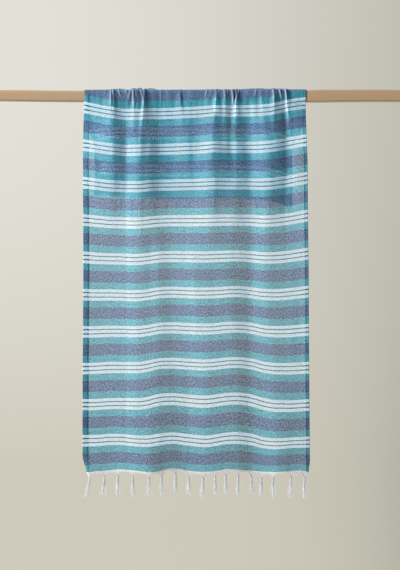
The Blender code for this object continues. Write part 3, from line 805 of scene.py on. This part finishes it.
class Nodes:
    """Adds nodes to the tree of a material or a world and links them, one call for each."""

    def __init__(self, name, kind="materials"):
        self.owner = getattr(bpy.data, kind).new(name)
        self.owner.use_nodes = True
        self.tree = self.owner.node_tree
        self.tree.nodes.clear()

    def add(self, kind, inputs=(), output=0, **settings):
        """One output of a new node, whose inputs get numbers, tuples or other nodes' outputs."""
        node = self.tree.nodes.new("ShaderNode" + kind)
        for key, value in settings.items():
            setattr(node, key, value)
        for name, value in dict(inputs).items():
            socket = node.inputs[name]
            if isinstance(value, Value):
                self.tree.links.new(value.socket, socket)
            elif isinstance(value, tuple):
                socket.default_value = value + (1.0,) * (len(socket.default_value) - len(value))
            else:
                socket.default_value = value
        return Value(self, node.outputs[output])

    def math(self, operation, *values):
        return self.add("Math", enumerate(values), operation=operation)

    def mix(self, share, a, b, blend="MIX"):
        return self.add("Mix", {0: share, 6: a, 7: b}, 2, data_type="RGBA", blend_type=blend)

    def tint(self, colour, by, share=1.0):
        """The colour multiplied by another, as far as the share says."""
        return self.mix(share, colour, by, "MULTIPLY")

    def join(self, *values):
        return self.add("CombineXYZ", enumerate(values))

    def split(self, vector):
        node = self.add("SeparateXYZ", {0: vector}).socket.node
        return [Value(self, socket) for socket in node.outputs]

    def attribute(self, name):
        return self.add("Attribute", output="Fac", attribute_name=name)

    def stretch(self, vector, scale):
        return self.add("VectorMath", {0: vector, 1: scale}, operation="MULTIPLY")

    def noise(self, vector, scale, detail=2.0, roughness=0.5):
        """Noise from 0 to 1, with so many features to a unit of length along each axis."""
        vector = self.stretch(vector, scale)
        inputs = {"Vector": vector, "Scale": 1.0, "Detail": detail, "Roughness": roughness}
        return self.add("TexNoise", inputs)

    def ramp(self, value, stops):
        """A ramp through places and colours, or through places and shades of grey."""
        ramp = self.add("ValToRGB", {0: value})
        elements = ramp.socket.node.color_ramp.elements
        while len(elements) < len(stops):
            elements.new(0.5)
        for element, (position, colour) in zip(elements, stops):
            element.position = position
            element.color = (*(colour if isinstance(colour, tuple) else (colour,) * 3), 1.0)
        return ramp

    def surface(self, colour, rough, specular, height=None, bump=(0.0, 0.0), sheen=(0.0, 0.5)):
        """A matt surface. Bump is the strength and depth of its relief, sheen weight and width."""
        inputs = {"Base Color": colour, "Roughness": rough, "Specular IOR Level": specular}
        inputs["Sheen Weight"], inputs["Sheen Roughness"] = sheen
        if height is not None:
            relief = {"Height": height, "Strength": bump[0], "Distance": bump[1]}
            inputs["Normal"] = self.add("Bump", relief)
        return self.add("BsdfPrincipled", inputs)

    def clear(self):
        return self.add("BsdfTransparent")

    def blend(self, share, first, second):
        return self.add("MixShader", {0: share, 1: first, 2: second})

    def output(self, shader, kind="OutputMaterial"):
        node = self.tree.nodes.new("ShaderNode" + kind)
        self.tree.links.new(shader.socket, node.inputs[0])
        return self.owner


TEAL = (0.061, 0.348, 0.445)
NAVY = (0.067, 0.137, 0.273)
WHITE = (0.558, 0.663, 0.715)
LINE = (0.020, 0.140, 0.196)
WARP = (0.315, 0.437, 0.545)
# Painted highlight colour, for the creases' crests and the bunched navy, and painted shade colour,
# beside the creases.
PAINTED_HIGHLIGHT = (0.62, 0.68, 0.84)
PAINTED_CREASE_SHADE = (0.015, 0.018, 0.07)
NO_TINT = (1.0, 1.0, 1.0)

# Widths in one repeat, in millimetres. Two thin lines divide the white group, wider in the hems.
WHITE_GROUP = 41.6
TEAL_STRIPE = 24.8
NAVY_STRIPE = 41.6
THIN_LINE = 3.7
THIN_LINE_IN_HEM = 4.7
STRIPE_BLUR = 0.0022  # half the width of a stripe's soft edge, as a share of the repeat

# How far the side hems' painted shade darkens the cloth by distance from its side edge, in shares
# of HEM_REACH.
HEM_REACH = 40.0
HEM_SHADE_STOPS = (
    (0.0, (0.74, 0.82, 0.80)), (0.40, (0.66, 0.78, 0.76)),
    (0.44, (0.08, 0.40, 0.42)), (0.53, (0.08, 0.40, 0.42)), (0.57, NO_TINT),
)
COVERED = 0.80  # how much of the cloth's surface its yarns cover


def stripe_stops(line_width):
    """Colours along one repeat, from a white group's start down, as shares of the repeat."""
    line = line_width / REPEAT
    white = (WHITE_GROUP - 2 * line_width) / 3 / REPEAT
    stops = [(0.0, WHITE)]
    place = white
    before = WHITE
    for width, colour in (
        (line, LINE), (white, WHITE), (line, LINE), (white, WHITE),
        (TEAL_STRIPE / REPEAT, TEAL), (NAVY_STRIPE / REPEAT, NAVY), (0.0, TEAL),
    ):
        stops += [(place - STRIPE_BLUR, before), (place + STRIPE_BLUR, colour)]
        place += width
        before = colour
    return stops + [(1.0, TEAL)]


def cotton_cloth():
    n = Nodes("striped_cotton_weave")
    uv = n.add("UVMap")
    metres = n.stretch(uv, (UV_WIDTH * MM * FLAT_WIDTH / TOWEL_WIDTH, FLAT_LENGTH * MM, 1.0))
    across, up, _ = n.split(metres)
    # The weft isn't laid quite straight, so the stripes' edges waver by a fraction of a millimetre.
    up_wavy = up + (n.noise(metres, (28.0, 6.0, 1.0)) - 0.5) * 0.0010
    share = n.math("FRACT", up_wavy * (-1.0 / (REPEAT * MM)))
    weft = n.ramp(share, stripe_stops(THIN_LINE))
    # The side hems are three layers thick; painted shade darkens them, most along their stitched
    # line.
    place = n.split(uv)[0] * UV_WIDTH - UV_MARGIN
    inside = n.math("MINIMUM", place, (TOWEL_WIDTH - place) * (1.0 / RIGHT_HEM))
    hem_shade = n.ramp(inside * (1 / HEM_REACH), HEM_SHADE_STOPS)
    # The hem's layers don't lie quite true, so the thin lines between the white stripes are wider.
    in_hem = n.math("LESS_THAN", inside, HEM_WIDTH)
    weft = n.mix(in_hem, weft, n.ramp(share, stripe_stops(THIN_LINE_IN_HEM)))
    # On the right, and where the back panel hangs behind, the hems' painted shade is weaker.
    doubled = ((up - 0.95) * 5.0).clamp()
    weaker = n.math("GREATER_THAN", place, TOWEL_WIDTH / 2) * 0.28
    weaker = n.math("MAXIMUM", weaker, doubled * 0.55)
    dyed = (1.0 - n.split(weft)[0] * (1.0 / WHITE[0])).clamp()
    weft = n.tint(weft, n.mix(weaker, hem_shade, NO_TINT), dyed)
    green = n.split(weft)[1]
    # Uneven weft yarns: long thin streaks across. Uneven warp yarns: thin streaks along.
    weft_streak = n.noise(metres, (22.0, 900.0, 1.0), 3.0, 0.65)
    warp_streak = n.noise(metres, (700.0, 9.0, 1.0), 3.0, 0.6)
    speckle = n.noise(metres, (330.0, 420.0, 1.0), 2.0, 0.6)
    mottle = n.noise(metres, (45.0, 60.0, 1.0))
    uneven = n.noise(metres, (205.0, 165.0, 1.0), 2.0, 0.6) - 0.5
    # The pale warp shows between the coloured wefts as a heather.
    heather = ((speckle - 0.42) * 2.2).clamp() * (warp_streak * 0.6 + 0.2)
    heather = (heather + uneven * 1.5).clamp()
    colour = n.mix(heather, weft, n.mix(0.5, weft, WARP))
    amount = n.ramp(green, ((NAVY[1], 0.26), (TEAL[1], 0.21), (WHITE[1], 0.19)))
    shade = weft_streak * 0.2 + warp_streak * 0.28 + mottle * 0.2 + uneven * (amount * 10.0)
    shade = n.math("MAXIMUM", shade + 0.66, 0.05)
    colour = n.tint(colour, n.join(shade, shade, shade))
    pale = n.attribute("crease_pale")
    dark = n.attribute("crease_dark")
    shaded = n.attribute("shaded")
    bunched = n.attribute("bunched")
    near_hem = (1.0 - up * 2.0).clamp()
    # Painted light: white yarn is painted lighter and bluer where it turns from the window and over
    # the back panel.
    colour = n.tint(colour, (1.28, 1.41, 1.50), shaded * (1.0 - dyed))
    # Painted shade: dyed yarn is painted darker where it turns from the window, less so over the
    # back panel, and darker towards the hem.
    dyed_painted_shade = (shaded - 0.35) * 0.10 * (1.0 - doubled * 0.6)
    dyed_painted_shade = (dyed_painted_shade + near_hem * 0.13) * dyed
    # Painted shade: all yarn is painted a little darker towards the hem, and the painted light and
    # shade of the soft valleys and crests is multiplied in.
    painted_shade_factor = (1.0 - (dyed_painted_shade + near_hem * 0.065)) * n.attribute("fold_light")
    colour = n.tint(colour, n.join(painted_shade_factor, painted_shade_factor, painted_shade_factor))
    # Painted light: where the back panel hangs behind, the cloth is painted bluer, for the light
    # that comes through both panels.
    colour = n.tint(colour, (0.93, 1.0, 1.02), doubled)
    # Painted light: navy cloth that is bunched on the rod is painted lighter, towards a pale lilac.
    navy_painted_lift = n.ramp(green, ((NAVY[1], 0.05), (0.8 * TEAL[1], 0.0)))
    colour = n.mix(navy_painted_lift * bunched, colour, PAINTED_HIGHLIGHT)
    # Painted light and shade: teal cloth in front of the back panel is painted paler where it faces
    # the window and deeper where it turns from it.
    teal = dyed * (1.0 - navy_painted_lift * 20.0)
    redness = shaded * -1.10 + 1.58
    colour = n.tint(colour, n.join(redness, 1.0, 1.0), teal * doubled)
    # Painted shade: teal cloth bunched on the rod is painted a little darker.
    colour = n.tint(colour, (0.87, 0.87, 0.87), teal * bunched)
    # Painted shade beside the creases and on the puffs' fronts, and painted highlights on the
    # creases' crests.
    colour = n.mix(dark * 0.8, colour, PAINTED_CREASE_SHADE)
    colour = n.mix(pale * 0.7, colour, PAINTED_HIGHLIGHT)
    # The weave: ribs of weft and warp at about a millimetre, wavering with the yarns.
    bend = n.noise(metres, (160.0, 160.0, 1.0)) * 0.0016
    ribs_up = n.math("SINE", (up + bend) * (2 * math.pi / 0.0011))
    ribs_across = n.math("SINE", (across + bend) * (2 * math.pi / 0.0012))
    relief = ribs_up * ribs_across * 0.16 + (weft_streak * 0.9 + warp_streak * 0.6)
    cloth = n.surface(colour, speckle * 0.16 + 0.78, 0.25, relief, (0.35, 0.0007), (0.12, 0.5))
    body = n.blend(0.30 - dyed * 0.02, cloth, n.add("BsdfTranslucent", {0: colour}))
    # Light and sight pass between the yarns, more where both systems of yarn run thin.
    covered = bunched * 0.12 + COVERED - uneven * 0.8 + near_hem * 0.05 + dark * 0.3
    return n.output(n.blend(covered.clamp(), n.clear(), body))


def heading_cotton():
    """The white weft heading at both ends, thin and open."""
    n = Nodes("white_heading_weave")
    place = n.add("TexCoord", output="Object")
    weft = n.noise(place, (60.0, 1.0, 1500.0), 2.0, 0.6)
    warp = n.noise(place, (900.0, 1.0, 20.0), 2.0, 0.6)
    both = weft * 0.6 + warp * 0.6
    colour = n.mix(both, (0.50, 0.53, 0.56), (0.64, 0.67, 0.69))
    cloth = n.surface(colour, 0.88, 0.2, both, (0.4, 0.0006))
    level = n.split(n.add("UVMap"))[1] * (1 / UV_HEADING)
    fade = n.ramp(level, ((0.0, 0.9), (0.35, 0.75), (1.0, 0.0)))
    return n.output(n.blend((both * 0.8 + 0.35).clamp() * fade, n.clear(), cloth))


def cotton_yarn(name, through_share, clear_share):
    n = Nodes(name)
    place = n.add("TexCoord", output="Object")
    fuzz = n.noise(place, (700.0, 700.0, 260.0), 3.0, 0.65)
    tone = n.noise(place, (90.0, 90.0, 30.0))
    tones = ((0.25, (0.74, 0.76, 0.81)), (0.75, (0.86, 0.88, 0.93)))
    colour = n.ramp(fuzz * 0.6 + tone * 0.5, tones)
    x, _, z = n.split(place)
    twist = n.math("SINE", (z + x * 1.4) * 3600.0) * 0.5 + fuzz
    yarn = n.surface(colour, fuzz * 0.15 + 0.78, 0.2, twist, (0.35, 0.0004), (0.15, 0.5))
    body = n.blend(through_share, yarn, n.add("BsdfTranslucent", {0: colour}))
    # A loosely spun yarn lets some light and sight through between its fibres.
    loose = ((fuzz - 0.5) * 0.6 + clear_share).clamp()
    return n.output(n.blend(loose, body, n.clear()))


def oak():
    n = Nodes("oiled_oak")
    place = n.add("TexCoord", output="Object")
    # Growth rings about a pith well below and in front of the bar, drawn out along its length.
    drift = n.noise(place, (1.1, 34.0, 34.0), 3.0, 0.55)
    _, y, z = n.split(place)
    y += 0.030
    z += 0.075
    out = n.math("SQRT", y * y + z * z) + drift * 0.012
    late = n.ramp(n.math("FRACT", out * 240.0), ((0.0, 0.0), (0.7, 0.55), (0.93, 1.0), (1.0, 0.0)))
    fibres = n.noise(place, (14.0, 900.0, 900.0), 3.0, 0.6)
    pores = n.noise(place, (45.0, 1500.0, 1500.0), 1.0)
    pores = n.ramp(pores, ((0.60, 0.0), (0.72, 1.0)))
    broad = n.noise(place, (2.2, 30.0, 30.0))
    colour = n.mix(late, (0.378, 0.260, 0.157), (0.322, 0.208, 0.114))
    colour = n.mix(fibres * 0.5, colour, (0.409, 0.294, 0.182))
    colour = n.mix(pores * 0.35, colour, (0.222, 0.135, 0.075))
    colour = n.mix(broad * 0.35, colour, (0.347, 0.223, 0.125))
    # Painted light: the underside is painted lighter, as if lit from below.
    turn = n.split(n.add("UVMap"))[1]
    colour = n.tint(colour, n.ramp(turn, ((0.60, 1.0), (0.69, 1.7), (0.78, 1.7), (0.90, 1.0))))
    relief = fibres * 0.6 + pores * -0.8
    return n.output(n.surface(colour, fibres * 0.15 + 0.46, 0.4, relief, (0.25, 0.0004)))


def pale_floor():
    n = Nodes("pale_floor")
    place = n.add("TexCoord", output="Object")
    speck = n.noise(place, (40.0, 40.0, 40.0))
    colour = n.mix(speck, (0.45, 0.44, 0.405), (0.48, 0.47, 0.435))
    # The floor fades out towards its rim, so that it has no hard edge against the backdrop.
    flat = n.stretch(place, (1.0, 1.0, 0.0))
    length = n.add("VectorMath", {0: flat}, "Value", operation="LENGTH")
    fade = n.ramp(length * (1 / (FLOOR_SIZE * MM)), ((0.45, 1.0), (0.98, 0.0)))
    return n.output(n.blend(fade, n.clear(), n.surface(colour, 0.9, 0.5)))


# --- The studio ---


def make_floor():
    uvs = [(0, 0), (1, 0), (1, 1), (0, 1)]
    points = [(FLOOR_SIZE * (2 * u - 1), FLOOR_SIZE * (2 * v - 1), 0.0) for u, v in uvs]
    floor = new_mesh("studio_floor", points, [(0, 1, 2, 3)], uvs, [pale_floor()])
    floor.location = (0.8, 0.0, -2.455)


def make_world():
    n = Nodes("studio", "worlds")
    bpy.context.scene.world = n.owner
    way = n.add("TexCoord", output="Generated")
    x, _, z = n.split(way)
    # Soft light from all round, brighter from the wall behind, the left, and above and below.
    brighter = {0: way, 1: (-0.45, 0.70, 0.20)}
    around = n.add("VectorMath", brighter, "Value", operation="DOT_PRODUCT")
    strength = around * 0.363 + (n.math("ABSOLUTE", z) * 0.20 + 0.454)
    light = n.add("Background", {0: (0.95, 0.98, 1.0), 1: strength})

    def spread(value, low, high, power):
        span = n.add("MapRange", {"Value": value, "From Min": low, "From Max": high})
        return n.math("POWER", span, power)

    # The backdrop: a pale wall, brightest at the upper left.
    low = n.mix(spread(x, -0.146, 0.146, 5.0), (0.618, 0.590, 0.498), (0.458, 0.452, 0.380))
    high = n.mix(spread(x, -0.146, 0.146, 1.6), (0.773, 0.750, 0.692), (0.530, 0.521, 0.450))
    wall = n.mix(spread(z, 0.146, -0.13, 1.6), high, low)
    seen = n.add("Background", {0: wall})
    to_camera = n.add("LightPath", output="Is Camera Ray")
    n.output(n.blend(to_camera, light, seen), "OutputWorld")


def make_key_light():
    """The window: a large square of daylight at the upper left, in front of the towel."""
    data = bpy.data.lights.new("key", "AREA")
    data.shape = "SQUARE"
    data.size = 3.4
    data.energy = 3770.0
    data.color = (1.0, 0.985, 0.96)
    light = new_object("key", data)
    light.location = (-10.54, -5.32, 4.295)
    light.rotation_mode = "QUATERNION"
    direction = Vector((0.8, 0.0, -0.605)) - light.location
    light.rotation_quaternion = direction.to_track_quat("-Z", "Y")


def make_camera():
    data = bpy.data.cameras.new("camera")
    data.lens = 86.5
    data.sensor_width = 36.0
    camera = new_object("camera", data)
    camera.location = (0.8, -5.037, -0.6967)
    camera.rotation_euler = (math.pi / 2, 0.0, 0.0)
    bpy.context.scene.camera = camera


def main():
    cloth, across, face = make_cloth(cotton_cloth())
    heading = heading_cotton()
    yarn = cotton_yarn("white_cotton_yarn", 0.35, 0.6)
    thin_yarn = cotton_yarn("thin_cotton_yarn", 0.2, 0.5)
    fringe = Fringe("front_tassels", TASSELS, YARNS, 1.1, yarn)
    front = make_tassels(fringe, across, face[-1], face[-3], heading)
    mirrored = [
        tassel._replace(across=TOWEL_WIDTH - tassel.across, swing=-tassel.swing)
        for tassel in reversed(TASSELS)
    ]
    fringe = Fringe("back_tassels", mirrored, BACK_YARNS, 0.7, thin_yarn)
    back = make_tassels(fringe, across, face[0], face[2], heading)
    rod = make_rod(oak())
    for piece, node, slot in (
        (cloth, "cloth", "striped_cotton"),
        (front, "front_fringe", "cotton_yarn"),
        (back, "back_fringe", "cotton_yarn"),
        (rod, "rod", "oak"),
    ):
        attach(piece, "root")
        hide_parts(node)
    make_floor()
    make_world()
    make_key_light()
    make_camera()
    bpy.context.scene.view_settings.view_transform = "Standard"


main()
